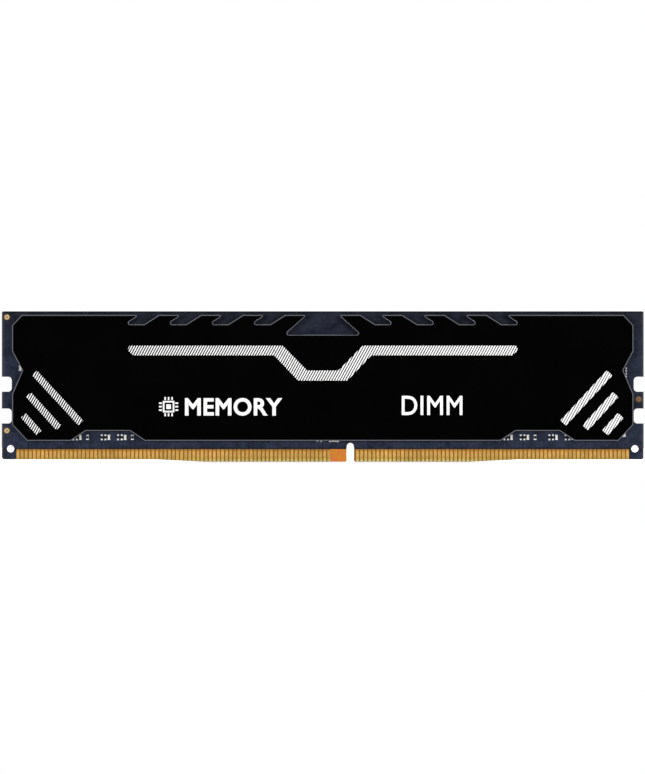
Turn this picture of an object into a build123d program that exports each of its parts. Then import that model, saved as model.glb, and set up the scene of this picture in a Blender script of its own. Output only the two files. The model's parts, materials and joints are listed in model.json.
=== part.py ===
from build123d import *
import os

# A desktop memory module: a 288-contact circuit board with sixteen memory chips,
# covered on both sides by a flat aluminium heat spreader.
# X runs along the module, Y through it with the front facing -Y, and Z up from the contact edge.
# The origin is the middle of the contact edge. All sizes are in millimetres.

os.makedirs("parts", exist_ok=True)

# ---------------------------------------------------------------- circuit board
BOARD_LENGTH = 133.35
BOARD_HEIGHT = 31.25
LAMINATE_THICKNESS = 1.33
SURFACE_THICKNESS = 0.035          # solder mask, and the plated contacts beside it
BOARD_FACE = LAMINATE_THICKNESS / 2 + SURFACE_THICKNESS
RIGHT_END = BOARD_LENGTH / 2

# The contact edge stands lower in the middle, so that the module goes in bit by bit.
EDGE_STEP = 0.5
LEFT_RAMP = (32.05, 42.25)         # measured from the left end
RIGHT_RAMP = (97.05, 107.25)
LOWER_CORNER_RADIUS = 0.5
UPPER_CORNER_RADIUS = 0.3

KEY_FROM_LEFT = 72.40              # the slot that fits one way round in the socket
KEY_WIDTH = 1.5
KEY_DEPTH = 3.9
KEY_MOUTH_RADIUS = 0.4

LATCH_HEIGHTS = (9.5, 16.1)        # the socket's latches hook into these side notches
LATCH_DEPTH = 2.05
LATCH_OPENING = 3.1
LATCH_RADIUS = 0.75

TOOLING_HOLE_DIAMETER = 1.5
TOOLING_HOLE_FROM_END = 1.8
TOOLING_HOLE_HEIGHT = 2.7

# ---------------------------------------------------------------- edge contacts
CONTACT_PITCH = 0.85
CONTACT_WIDTH = 0.6
CONTACT_TOP = 2.6
CONTACT_SETBACK = 0.1
FIRST_CONTACT = 3.35               # from the left end
CONTACTS_LEFT_OF_KEY = 77
KEY_CONTACT_STEP = 5.95            # from the last contact before the key to the next one
CONTACTS_RIGHT_OF_KEY = 67
BARE_ZONE = (3.0, 130.35)          # stretch of the lower edge that has no solder mask
BARE_ZONE_TOP = 2.62

# ---------------------------------------------------------------- gold alignment pads
PAD_DIAMETER = 1.05
PAD_CENTRE_HOLE = 0.3
PAD_PLACES = ((1.05, 30.05), (1.03, 6.46), (132.3, 13.0))

# ---------------------------------------------------------------- memory chips
CHIP_WIDTH = 7.5
CHIP_HEIGHT = 11.0
CHIP_MOULD = 0.65
CHIP_SUBSTRATE = 0.2
CHIP_CENTRE_HEIGHT = 16.5
CHIP_CENTRES = (11.5, 25.1, 38.7, 52.3, 81.05, 94.65, 108.25, 121.85)
BALL_DIAMETER = 0.45
BALL_STANDOFF = 0.25
BALL_PITCH = 0.8
BALL_COLUMNS = 3                   # in each of the two blocks under a chip
BALL_ROWS = 13
BALL_BLOCK_OFFSET = 2.4
CHIP_STACK = BALL_STANDOFF + CHIP_SUBSTRATE + CHIP_MOULD

# ---------------------------------------------------------------- module identity chip
IDENTITY_CENTRE = (66.7, 9.2)
IDENTITY_SIZE = (2.0, 3.0)
IDENTITY_BODY = 0.7
IDENTITY_LEAD = 0.05
IDENTITY_LEAD_SIZE = (0.45, 0.25)
IDENTITY_LEAD_PITCH = 0.5

# ---------------------------------------------------------------- small surface parts
# The series row repeats in lanes; each lane's parts stand at these distances from its start.
LANE_STARTS = (5.85, 15.2, 24.53, 33.9, 89.5, 98.85, 108.2, 117.55)
LANE_HEIGHT = 5.07
LANE_ARRAYS = (0.0, 5.95)
LANE_CAPACITORS = (1.1, 7.05)
LANE_RESISTOR = 2.6
KEY_ARRAY = (65.95, 4.8)           # from the left end, and height, beside the key slot
WAIST_CAPACITOR = (3.85, 19.4)
CORNER_CAPACITOR = (129.2, 6.0)
KEY_CAPACITOR = (69.0, 4.75)
DECOUPLING_OFFSETS = (-1.2, 1.2)   # two columns between neighbouring memory chips
DECOUPLING_HEIGHTS = (12.5, 16.5, 20.5)

SMALL_CHIP = (0.5, 1.0, 0.5)       # width, length, thickness of a 0402 part
SMALL_TERMINAL = 0.25
MEDIUM_CHIP = (0.8, 1.6, 0.8)      # 0603
MEDIUM_TERMINAL = 0.35
LARGE_CHIP = (1.25, 2.0, 0.85)     # 0805
LARGE_TERMINAL = 0.45
RESISTOR_THICKNESS = 0.35

PAIR_ARRAY = (1.1, 0.56)           # width and height of a two-element resistor array's body
PAIR_TERMINAL = (0.35, 0.3)
PAIR_TERMINAL_SPREAD = 0.76
QUAD_ARRAY = (0.56, 2.1)
QUAD_TERMINAL = (0.25, 0.32)
QUAD_TERMINAL_PITCH = 0.55
QUAD_ARRAY_FROM_LEFT = 129.3
QUAD_ARRAY_HEIGHTS = (15.85, 18.55, 21.25)

# ---------------------------------------------------------------- thermal pads and heat spreaders
PAD_THICKNESS = 0.5
PAD_HALF_LENGTH = 60.5
PAD_LOWER_EDGE = 9.5
PAD_UPPER_EDGE = 23.5
SPREADER_THICKNESS = 1.0
SPREADER_CHAMFER = 0.2
SPREADER_CORNER_RADIUS = 0.28
SPREADER_INNER_FACE = BOARD_FACE + CHIP_STACK + PAD_THICKNESS
SPREADER_TOP = 30.5
SPREADER_BOTTOM = 4.35
TOOTH_FLOOR = 28.55                # how deep the slanted top notches go
TOOTH_PITCH = 8.73
TOOTH_COUNT = 4
CENTRE_WINDOW_FLOOR = 26.4


def across(from_left):
    """X of a point given by its distance from the module's left end."""
    return from_left - BOARD_LENGTH / 2


def place(centre):
    """A part's centre in the model, from its distance along the board and its height."""
    return (across(centre[0]), centre[1])


def save(piece, name):
    """Label a finished piece and write it."""
    piece.part.label = name
    export_step(piece.part, f"parts/{name}.step")


def save_front_and_back(front, name_front, name_back):
    """Write a front piece, and its mirror image on the back of the board."""
    save(front, name_front)
    with BuildPart() as back:
        mirror(front.part, about=Plane.XZ)
    save(back, name_back)


def front_plane(distance):
    """A sketch plane facing the front, at this distance from the board's middle plane."""
    return Plane.XZ.offset(distance)


# ================================================================ circuit board
def lower_edge(lift):
    """Corners of the stepped contact edge from left to right, raised by lift."""
    return [
        (-RIGHT_END, EDGE_STEP + lift),
        (across(LEFT_RAMP[0]), EDGE_STEP + lift),
        (across(LEFT_RAMP[1]), lift),
        (across(RIGHT_RAMP[0]), lift),
        (across(RIGHT_RAMP[1]), EDGE_STEP + lift),
        (RIGHT_END, EDGE_STEP + lift),
    ]


def board_outline(plane):
    """The board's outline on this plane, with its notches and tooling holes."""
    corners = lower_edge(0) + [(RIGHT_END, BOARD_HEIGHT), (-RIGHT_END, BOARD_HEIGHT)]
    sharp = [0, 0, 0, 0]
    lower, upper = LOWER_CORNER_RADIUS, UPPER_CORNER_RADIUS
    with BuildSketch(plane) as outline:
        with BuildLine():
            FilletPolyline(*corners, radius=[lower] + sharp + [lower, upper, upper], close=True)
        make_face()
        with Locations((across(KEY_FROM_LEFT), 0)):
            SlotOverall(2 * KEY_DEPTH, KEY_WIDTH, rotation=90, mode=Mode.SUBTRACT)
        for height in LATCH_HEIGHTS:
            with Locations((-RIGHT_END, height), (RIGHT_END, height)):
                RectangleRounded(
                    2 * LATCH_DEPTH, LATCH_OPENING, LATCH_RADIUS, mode=Mode.SUBTRACT
                )
        hole = RIGHT_END - TOOLING_HOLE_FROM_END
        with Locations((-hole, TOOLING_HOLE_HEIGHT), (hole, TOOLING_HOLE_HEIGHT)):
            Circle(TOOLING_HOLE_DIAMETER / 2, mode=Mode.SUBTRACT)
    return outline.sketch


with BuildPart() as circuit_board:
    extrude(board_outline(Plane.XZ), amount=LAMINATE_THICKNESS / 2, both=True)
    key_mouth = (
        circuit_board.edges()
        .filter_by(Axis.Y)
        .sort_by_distance((across(KEY_FROM_LEFT), 0, 0))[0:2]
    )
    fillet(key_mouth, KEY_MOUTH_RADIUS)
save(circuit_board, "circuit_board")

with BuildPart() as solder_mask:
    laminate_face = front_plane(LAMINATE_THICKNESS / 2)
    extrude(board_outline(laminate_face), amount=SURFACE_THICKNESS)
    with BuildSketch(laminate_face):
        with Locations((across(BARE_ZONE[0]), 0)):
            Rectangle(BARE_ZONE[1] - BARE_ZONE[0], BARE_ZONE_TOP, align=(Align.MIN, Align.MIN))
        with Locations(*[place(centre) for centre in PAD_PLACES]):
            Circle(PAD_DIAMETER / 2)
    extrude(amount=SURFACE_THICKNESS, mode=Mode.SUBTRACT)
save_front_and_back(solder_mask, "solder_mask_front", "solder_mask_back")

with BuildPart() as edge_contacts:
    with BuildSketch(front_plane(LAMINATE_THICKNESS / 2)):
        last_left = FIRST_CONTACT + (CONTACTS_LEFT_OF_KEY - 1) * CONTACT_PITCH
        first_right = last_left + KEY_CONTACT_STEP
        groups = ((FIRST_CONTACT, CONTACTS_LEFT_OF_KEY), (first_right, CONTACTS_RIGHT_OF_KEY))
        for first, count in groups:
            middle = across(first + (count - 1) * CONTACT_PITCH / 2)
            with Locations((middle, 0)):
                with GridLocations(CONTACT_PITCH, CONTACT_PITCH, count, 1):
                    Rectangle(CONTACT_WIDTH, CONTACT_TOP, align=(Align.CENTER, Align.MIN))
        with BuildLine():
            upper_corners = [(RIGHT_END, CONTACT_TOP), (-RIGHT_END, CONTACT_TOP)]
            Polyline(*lower_edge(CONTACT_SETBACK), *upper_corners, close=True)
        make_face(mode=Mode.INTERSECT)
    extrude(amount=SURFACE_THICKNESS)
save_front_and_back(edge_contacts, "edge_contacts_front", "edge_contacts_back")

with BuildPart() as alignment_pads:
    with BuildSketch(front_plane(LAMINATE_THICKNESS / 2)):
        with Locations(*[place(centre) for centre in PAD_PLACES]):
            Circle(PAD_DIAMETER / 2)
            Circle(PAD_CENTRE_HOLE / 2, mode=Mode.SUBTRACT)
    extrude(amount=SURFACE_THICKNESS)
save_front_and_back(alignment_pads, "alignment_pads_front", "alignment_pads_back")


# ================================================================ memory chips
def chip_places():
    """Centres of the eight memory chips on one side of the board."""
    return [place((from_left, CHIP_CENTRE_HEIGHT)) for from_left in CHIP_CENTRES]


with BuildPart() as solder_balls:
    with BuildSketch(front_plane(BOARD_FACE)):
        with Locations(*chip_places()):
            with Locations((-BALL_BLOCK_OFFSET, 0), (BALL_BLOCK_OFFSET, 0)):
                with GridLocations(BALL_PITCH, BALL_PITCH, BALL_COLUMNS, BALL_ROWS):
                    Circle(BALL_DIAMETER / 2)
    extrude(amount=BALL_STANDOFF)
save_front_and_back(solder_balls, "chip_solder_balls_front", "chip_solder_balls_back")

with BuildPart() as substrates:
    with BuildSketch(front_plane(BOARD_FACE + BALL_STANDOFF)):
        with Locations(*chip_places()):
            Rectangle(CHIP_WIDTH, CHIP_HEIGHT)
    extrude(amount=CHIP_SUBSTRATE)
save_front_and_back(substrates, "chip_substrates_front", "chip_substrates_back")

for number, chip_centre in enumerate(chip_places(), start=1):
    with BuildPart() as memory_chip:
        with BuildSketch(front_plane(BOARD_FACE + BALL_STANDOFF + CHIP_SUBSTRATE)):
            with Locations(chip_centre):
                Rectangle(CHIP_WIDTH, CHIP_HEIGHT)
        extrude(amount=CHIP_MOULD)
    save_front_and_back(memory_chip, f"memory_chip_front_{number}", f"memory_chip_back_{number}")

# ================================================================ module identity chip
with BuildPart() as identity_chip_leads:
    with BuildSketch(front_plane(BOARD_FACE)):
        with Locations(place(IDENTITY_CENTRE)):
            with GridLocations(IDENTITY_SIZE[0] - IDENTITY_LEAD_SIZE[0], IDENTITY_LEAD_PITCH, 2, 4):
                Rectangle(*IDENTITY_LEAD_SIZE)
    extrude(amount=IDENTITY_LEAD)
save(identity_chip_leads, "identity_chip_leads")

with BuildPart() as identity_chip:
    with BuildSketch(front_plane(BOARD_FACE + IDENTITY_LEAD)):
        with Locations(place(IDENTITY_CENTRE)):
            Rectangle(*IDENTITY_SIZE)
    extrude(amount=IDENTITY_BODY)
save(identity_chip, "identity_chip")


# ================================================================ small surface parts
def lane_places(offsets):
    """Centres of the series-row parts that stand at these offsets in every lane."""
    return [place((start + offset, LANE_HEIGHT)) for start in LANE_STARTS for offset in offsets]


def decoupling_places():
    """Centres of the capacitors that stand between neighbouring memory chips."""
    gaps = [
        (left + right) / 2
        for left, right in zip(CHIP_CENTRES, CHIP_CENTRES[1:])
        if right - left < 2 * CHIP_WIDTH
    ]
    return [
        place((gap + offset, height))
        for gap in gaps
        for offset in DECOUPLING_OFFSETS
        for height in DECOUPLING_HEIGHTS
    ]


small_capacitors = lane_places(LANE_CAPACITORS) + decoupling_places() + [place(WAIST_CAPACITOR)]
small_resistors = lane_places((LANE_RESISTOR,))
pair_arrays = lane_places(LANE_ARRAYS) + [place(KEY_ARRAY)]
quad_arrays = [place((QUAD_ARRAY_FROM_LEFT, height)) for height in QUAD_ARRAY_HEIGHTS]
medium_capacitor = place(CORNER_CAPACITOR)
large_capacitor = place(KEY_CAPACITOR)


def draw_chip_bodies(places, size, terminal, rotation=0):
    """The middles of upright two-terminal parts, in the sketch that is open."""
    width, length, _ = size
    with Locations(*places):
        Rectangle(width, length - 2 * terminal, rotation=rotation)


with BuildPart() as capacitor_bodies:
    with BuildSketch(front_plane(BOARD_FACE)):
        draw_chip_bodies(small_capacitors, SMALL_CHIP, SMALL_TERMINAL)
    extrude(amount=SMALL_CHIP[2])
    with BuildSketch(front_plane(BOARD_FACE)):
        draw_chip_bodies([medium_capacitor], MEDIUM_CHIP, MEDIUM_TERMINAL)
    extrude(amount=MEDIUM_CHIP[2])
    with BuildSketch(front_plane(BOARD_FACE)):
        draw_chip_bodies([large_capacitor], LARGE_CHIP, LARGE_TERMINAL, rotation=90)
    extrude(amount=LARGE_CHIP[2])
save_front_and_back(capacitor_bodies, "capacitor_bodies_front", "capacitor_bodies_back")


def draw_terminals(places, size, terminal):
    """The metal ends of upright two-terminal parts, in the sketch that is open."""
    width, length, _ = size
    with Locations(*places):
        with GridLocations(width, length - terminal, 1, 2):
            Rectangle(width, terminal)


with BuildPart() as capacitor_terminals:
    with BuildSketch(front_plane(BOARD_FACE)):
        draw_terminals(small_capacitors, SMALL_CHIP, SMALL_TERMINAL)
    extrude(amount=SMALL_CHIP[2])
    with BuildSketch(front_plane(BOARD_FACE)):
        draw_terminals([medium_capacitor], MEDIUM_CHIP, MEDIUM_TERMINAL)
    extrude(amount=MEDIUM_CHIP[2])
    with BuildSketch(front_plane(BOARD_FACE)):
        with Locations(large_capacitor):
            with GridLocations(LARGE_CHIP[1] - LARGE_TERMINAL, LARGE_CHIP[0], 2, 1):
                Rectangle(LARGE_TERMINAL, LARGE_CHIP[0])
    extrude(amount=LARGE_CHIP[2])
save_front_and_back(capacitor_terminals, "capacitor_terminals_front", "capacitor_terminals_back")

with BuildPart() as resistor_bodies:
    with BuildSketch(front_plane(BOARD_FACE)):
        draw_chip_bodies(small_resistors, SMALL_CHIP, SMALL_TERMINAL)
    extrude(amount=RESISTOR_THICKNESS)
save_front_and_back(resistor_bodies, "resistor_bodies_front", "resistor_bodies_back")

with BuildPart() as resistor_terminals:
    with BuildSketch(front_plane(BOARD_FACE)):
        draw_terminals(small_resistors, SMALL_CHIP, SMALL_TERMINAL)
    extrude(amount=RESISTOR_THICKNESS)
save_front_and_back(resistor_terminals, "resistor_terminals_front", "resistor_terminals_back")

with BuildPart() as array_bodies:
    with BuildSketch(front_plane(BOARD_FACE)):
        with Locations(*pair_arrays):
            Rectangle(*PAIR_ARRAY)
        with Locations(*quad_arrays):
            Rectangle(*QUAD_ARRAY)
    extrude(amount=RESISTOR_THICKNESS)
save_front_and_back(array_bodies, "array_bodies_front", "array_bodies_back")

with BuildPart() as array_terminals:
    with BuildSketch(front_plane(BOARD_FACE)):
        with Locations(*pair_arrays):
            with GridLocations(PAIR_TERMINAL_SPREAD, PAIR_ARRAY[1] + PAIR_TERMINAL[1], 2, 2):
                Rectangle(*PAIR_TERMINAL)
        with Locations(*quad_arrays):
            with GridLocations(QUAD_ARRAY[0] + QUAD_TERMINAL[0], QUAD_TERMINAL_PITCH, 2, 4):
                Rectangle(*QUAD_TERMINAL)
    extrude(amount=RESISTOR_THICKNESS)
save_front_and_back(array_terminals, "array_terminals_front", "array_terminals_back")

# ================================================================ thermal pads
with BuildPart() as thermal_pad:
    with BuildSketch(front_plane(BOARD_FACE + CHIP_STACK)):
        with Locations((0, (PAD_LOWER_EDGE + PAD_UPPER_EDGE) / 2)):
            Rectangle(2 * PAD_HALF_LENGTH, PAD_UPPER_EDGE - PAD_LOWER_EDGE)
    extrude(amount=PAD_THICKNESS)
save_front_and_back(thermal_pad, "thermal_pad_front", "thermal_pad_back")


# ================================================================ heat spreaders
def spreader_right_half():
    """Corners of the spreader's right half, from the middle of its lower edge to its upper edge."""
    outline = [
        (36.95, SPREADER_BOTTOM),      # the low cut-out above the contacts
        (40.0, 6.4),
        (49.2, 6.4),
        (52.3, SPREADER_BOTTOM),
        (61.4, SPREADER_BOTTOM),
        (64.5, 7.7),
        (64.5, 14.05),                 # the waist between the latches and the upper corner
        (62.4, 19.0),
        (64.5, 22.95),
        (64.5, 28.35),
        (62.5, SPREADER_TOP),
    ]
    for step in reversed(range(TOOTH_COUNT)):
        shift = step * TOOTH_PITCH
        outline += [
            (11.7 + shift, SPREADER_TOP),
            (14.75 + shift, TOOTH_FLOOR),
            (10.9 + shift, TOOTH_FLOOR),
            (7.8 + shift, SPREADER_TOP),
        ]
    outline += [(3.2, SPREADER_TOP), (7.8, CENTRE_WINDOW_FLOOR)]
    return outline


with BuildPart() as heat_spreader:
    with BuildSketch(front_plane(SPREADER_INNER_FACE)):
        right_half = spreader_right_half()
        left_half = [(-x, z) for x, z in reversed(right_half)]
        with BuildLine():
            FilletPolyline(*right_half, *left_half, radius=SPREADER_CORNER_RADIUS, close=True)
        make_face()
    extrude(amount=SPREADER_THICKNESS)
    outer_rim = heat_spreader.faces().sort_by(Axis.Y)[0].edges()
    chamfer(outer_rim, SPREADER_CHAMFER)
save_front_and_back(heat_spreader, "heat_spreader_front", "heat_spreader_back")
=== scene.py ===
import json
import math
import random

import bmesh
import bpy
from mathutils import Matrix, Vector


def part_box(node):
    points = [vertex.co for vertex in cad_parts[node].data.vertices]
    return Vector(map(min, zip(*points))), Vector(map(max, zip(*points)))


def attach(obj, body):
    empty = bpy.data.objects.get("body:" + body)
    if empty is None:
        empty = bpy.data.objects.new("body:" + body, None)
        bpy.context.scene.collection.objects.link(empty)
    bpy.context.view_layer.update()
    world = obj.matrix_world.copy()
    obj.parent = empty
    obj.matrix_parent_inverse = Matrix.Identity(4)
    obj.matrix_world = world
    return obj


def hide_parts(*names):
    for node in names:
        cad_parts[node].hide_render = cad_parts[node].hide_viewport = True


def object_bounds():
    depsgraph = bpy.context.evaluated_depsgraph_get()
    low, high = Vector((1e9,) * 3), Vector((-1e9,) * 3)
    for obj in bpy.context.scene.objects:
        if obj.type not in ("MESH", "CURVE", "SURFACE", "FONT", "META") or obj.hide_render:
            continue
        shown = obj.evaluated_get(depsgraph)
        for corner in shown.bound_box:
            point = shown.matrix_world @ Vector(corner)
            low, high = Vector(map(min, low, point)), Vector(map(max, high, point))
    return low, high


# A desktop memory module between two flat heat spreaders, on a pale floor.
# Everything is in metres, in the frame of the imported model: X along the module,
# -Y out of its front, Z up from the contact edge. Places and sizes come from the model's nodes.

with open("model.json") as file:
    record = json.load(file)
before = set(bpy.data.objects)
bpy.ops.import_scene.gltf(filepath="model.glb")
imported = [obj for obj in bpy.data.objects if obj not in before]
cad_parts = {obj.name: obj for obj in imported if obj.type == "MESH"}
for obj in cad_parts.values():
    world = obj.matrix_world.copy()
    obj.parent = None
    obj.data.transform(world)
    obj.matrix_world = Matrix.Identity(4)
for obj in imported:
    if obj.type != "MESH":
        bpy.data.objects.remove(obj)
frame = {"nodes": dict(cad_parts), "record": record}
cad_low, cad_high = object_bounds()

MM = 0.001
BODY = "root"
SIDES = {"front": -1, "back": 1}   # which way along Y each side of the board faces
SHARP_ANGLE = math.radians(38)     # edges that turn by more than this stay hard
WELD_DISTANCE = 1e-7
SAME_PLANE = 1e-6


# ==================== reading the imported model
def welded(node):
    """A CAD node's mesh with its split corners joined, for reading."""
    bm = bmesh.new()
    bm.from_mesh(frame["nodes"][node].data)
    bmesh.ops.remove_doubles(bm, verts=bm.verts, dist=WELD_DISTANCE)
    return bm


def solids(node):
    """Lowest and highest corner of every separate solid in a CAD node, from left to right."""
    bm = welded(node)
    left = set(bm.verts)
    found = []
    while left:
        first = left.pop()
        group = [first]
        for vert in group:
            for edge in vert.link_edges:
                other = edge.other_vert(vert)
                if other in left:
                    left.remove(other)
                    group.append(other)
        low = Vector([min(v.co[axis] for v in group) for axis in range(3)])
        high = Vector([max(v.co[axis] for v in group) for axis in range(3)])
        found.append((low, high))
    bm.free()
    return sorted(found, key=lambda corners: (round(corners[0].x, 5), corners[0].z))


def widest_gap(boxes):
    """The two ends, along X, of the widest gap between neighbouring solids."""
    gaps = [(low.x - high.x, high.x, low.x) for (_, high), (low, _) in zip(boxes, boxes[1:])]
    return max(gaps)[1:]


def face_outline(node, y):
    """The outline of a CAD node's flat face at this y, as anticlockwise (x, z) points."""
    bm = welded(node)
    lying_flat = {f for f in bm.faces if all(abs(v.co.y - y) < SAME_PLANE for v in f.verts)}
    rim = {e for e in bm.edges if len(lying_flat.intersection(e.link_faces)) == 1}
    edge = next(e for e in bm.edges if e in rim)
    vert = edge.verts[0]
    points = []
    while rim:
        rim.discard(edge)
        points.append(Vector((vert.co.x, vert.co.z)))
        vert = edge.other_vert(vert)
        edge = next((e for e in vert.link_edges if e in rim), None)
        if edge is None:
            break
    bm.free()
    return points if area(points) > 0 else points[::-1]


# ==================== outlines
def area(outline):
    """Signed area of a closed outline, positive if it runs anticlockwise."""
    pairs = zip(outline, outline[1:] + outline[:1])
    return sum(a.x * b.y - b.x * a.y for a, b in pairs) / 2


def inset(outline, distance):
    """A closed anticlockwise outline moved inwards by this distance."""
    least_spread = 0.35            # keeps very sharp corners from shooting far inwards
    moved = []
    for index, here in enumerate(outline):
        back = (here - outline[index - 1]).normalized()
        ahead = (outline[(index + 1) % len(outline)] - here).normalized()
        inward = Vector((-back.y - ahead.y, back.x + ahead.x)).normalized()
        spread = max(inward.dot(Vector((-back.y, back.x))), least_spread)
        moved.append(here + inward * (distance / spread))
    return moved


def rounded_rectangle(low, high, radius, corner_points=4):
    """An anticlockwise rectangle between two (x, z) corners, with rounded corners."""
    centres = (
        (high.x - radius, high.y - radius, 0),
        (low.x + radius, high.y - radius, 90),
        (low.x + radius, low.y + radius, 180),
        (high.x - radius, low.y + radius, 270),
    )
    points = []
    for x, z, start in centres:    # start is the angle in degrees at which the corner begins
        for step in range(corner_points):
            angle = math.radians(start + 90 * step / (corner_points - 1))
            points.append(Vector((x + radius * math.cos(angle), z + radius * math.sin(angle))))
    return points


def circle(centre, radius, count):
    """An anticlockwise circle of straight pieces round an (x, z) centre."""
    turns = [2 * math.pi * step / count for step in range(count)]
    return [centre + radius * Vector((math.cos(turn), math.sin(turn))) for turn in turns]


def flat(corner):
    """The (x, z) part of a corner."""
    return Vector((corner.x, corner.z))


def clip(outline, direction, limit):
    """The part of an outline that lies no further than limit along direction."""
    kept = []
    for here, there in zip(outline, outline[1:] + outline[:1]):
        room_here = limit - direction.dot(here)
        room_there = limit - direction.dot(there)
        if room_here >= 0:
            kept.append(here)
        if room_here * room_there < 0:
            kept.append(here + (there - here) * (room_here / (room_here - room_there)))
    return kept


# ==================== meshes
def add_prism(bm, outline, steps, side, band_materials=None):
    """Add a closed solid that follows an outline outwards from the board.

    steps are (inset, distance from the board's middle plane), from the inner face to the outer.
    band_materials gives the material number of each band between two steps; it is 0 if left out.
    """
    rings = []
    for shrink, depth in steps:
        ring = inset(outline, shrink) if shrink else outline
        rings.append([bm.verts.new((p.x, side * depth, p.y)) for p in ring])
    count = len(outline)
    for band, (inner, outer) in enumerate(zip(rings, rings[1:])):
        for index in range(count):
            after = (index + 1) % count
            face = bm.faces.new((inner[index], inner[after], outer[after], outer[index]))
            face.smooth = True
            face.material_index = band_materials[band] if band_materials else 0
    bm.faces.new(rings[0])
    bm.faces.new(rings[-1])


def new_piece(name, bm, materials, replaces=()):
    """Turn a finished mesh into a piece that rides on the module."""
    bmesh.ops.recalc_face_normals(bm, faces=bm.faces)
    bmesh.ops.triangulate(bm, faces=[f for f in bm.faces if len(f.verts) > 4])
    for edge in bm.edges:
        edge.smooth = edge.calc_face_angle(0) < SHARP_ANGLE
    mesh = bpy.data.meshes.new(name)
    bm.to_mesh(mesh)
    bm.free()
    for material in materials:
        mesh.materials.append(material)
    piece = bpy.data.objects.new(name, mesh)
    bpy.context.scene.collection.objects.link(piece)
    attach(piece, BODY)
    if replaces:
        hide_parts(*replaces)
    return piece


def finish_node(node, material, bevel=0.0):
    """Give a CAD node its material, and a small round on its edges where it has one."""
    piece = frame["nodes"][node]
    piece.data.materials.clear()
    piece.data.materials.append(material)
    if bevel:
        weld = piece.modifiers.new("weld", "WELD")
        weld.merge_threshold = WELD_DISTANCE
        soften = piece.modifiers.new("soften", "BEVEL")
        soften.width = bevel
        soften.segments = 2
        soften.limit_method = "ANGLE"
        soften.angle_limit = SHARP_ANGLE


# ==================== material nodes
def add_node(tree, kind, inputs=None, **settings):
    """A new shader node with its settings, and with its inputs by name or number."""
    made = tree.nodes.new(kind)
    for name, value in settings.items():
        setattr(made, name, value)
    for name, value in (inputs or {}).items():
        if isinstance(value, bpy.types.NodeSocket):
            tree.links.new(value, made.inputs[name])
        else:
            made.inputs[name].default_value = value
    return made


def surface_of(made):
    """The main shader of a material."""
    return made.node_tree.nodes["Principled BSDF"]


def new_material(name, base, roughness, metallic=0.0, specular=0.5):
    """A material whose surface starts from these plain values."""
    made = bpy.data.materials.new(name)
    made.use_nodes = True
    surface = surface_of(made)
    surface.inputs["Base Color"].default_value = (*base, 1)
    surface.inputs["Roughness"].default_value = roughness
    surface.inputs["Metallic"].default_value = metallic
    surface.inputs["Specular IOR Level"].default_value = specular
    return made


def place_socket(tree):
    """The point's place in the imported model's frame."""
    return add_node(tree, "ShaderNodeTexCoord").outputs["Object"]


def axis_socket(tree, axis):
    """One coordinate of the point, such as "X"."""
    return add_node(tree, "ShaderNodeSeparateXYZ", {0: place_socket(tree)}).outputs[axis]


def noise_socket(tree, grain, detail=3.0, stretch=(1, 1, 1)):
    """Noise from 0 to 1 whose grains are about this many metres across."""
    scaled = add_node(tree, "ShaderNodeMapping", {"Vector": place_socket(tree), "Scale": stretch})
    inputs = {"Vector": scaled.outputs[0], "Scale": 1 / grain, "Detail": detail}
    return add_node(tree, "ShaderNodeTexNoise", inputs).outputs[0]


def math_socket(tree, operation, first, second=0.0):
    """One arithmetic step."""
    return add_node(tree, "ShaderNodeMath", {0: first, 1: second}, operation=operation).outputs[0]


def range_socket(tree, value, low, high, start=0.3, end=0.7):
    """A value from start to end, stretched to run from low to high."""
    inputs = {0: value, 1: start, 2: end, 3: low, 4: high}
    return add_node(tree, "ShaderNodeMapRange", inputs).outputs[0]


def ramp_socket(tree, value, stops):
    """A colour that follows a value through (place, colour) stops."""
    made = add_node(tree, "ShaderNodeValToRGB", {0: value})
    ramp = made.color_ramp
    while len(ramp.elements) < len(stops):
        ramp.elements.new(0.5)
    for element, (place, colour) in zip(ramp.elements, stops):
        element.position = place
        element.color = (*colour, 1)
    return made.outputs[0]


def mix_socket(tree, factor, first, second):
    """A colour that goes from the first to the second as the factor goes from 0 to 1."""
    made = add_node(tree, "ShaderNodeMix", {0: factor}, data_type="RGBA")
    colour_inputs, colour_output = (6, 7), 2
    tree.links.new(first, made.inputs[colour_inputs[0]])
    tree.links.new(second, made.inputs[colour_inputs[1]])
    return made.outputs[colour_output]


def tint_socket(tree, colour, factor):
    """A colour made lighter or darker by a factor."""
    made = add_node(tree, "ShaderNodeVectorMath", {0: colour, "Scale": factor}, operation="SCALE")
    return made.outputs[0]


def set_bump(made, height, strength, distance):
    """Raise a material's surface by a height value; distance is in metres."""
    tree = made.node_tree
    inputs = {"Height": height, "Strength": strength, "Distance": distance}
    bump = add_node(tree, "ShaderNodeBump", inputs)
    tree.links.new(bump.outputs[0], surface_of(made).inputs["Normal"])


def connect(made, socket, name):
    """Feed a value or colour to one input of a material's main shader."""
    made.node_tree.links.new(socket, surface_of(made).inputs[name])


# ==================== materials
def anodised_material():
    """Matt black anodised aluminium with a bead-blasted grain."""
    made = new_material("black_anodised", (0.0005, 0.0005, 0.0005), 0.36, specular=0.01)
    tree = made.node_tree
    cloud = noise_socket(tree, 9 * MM)
    shades = [(0.3, (0.0003, 0.0003, 0.0003)), (0.7, (0.0007, 0.0007, 0.0007))]
    connect(made, ramp_socket(tree, cloud, shades), "Base Color")
    grain = noise_socket(tree, 0.09 * MM, 2.0)
    connect(made, range_socket(tree, grain, 0.32, 0.42), "Roughness")
    set_bump(made, grain, 0.06, 0.01 * MM)
    return made


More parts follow.
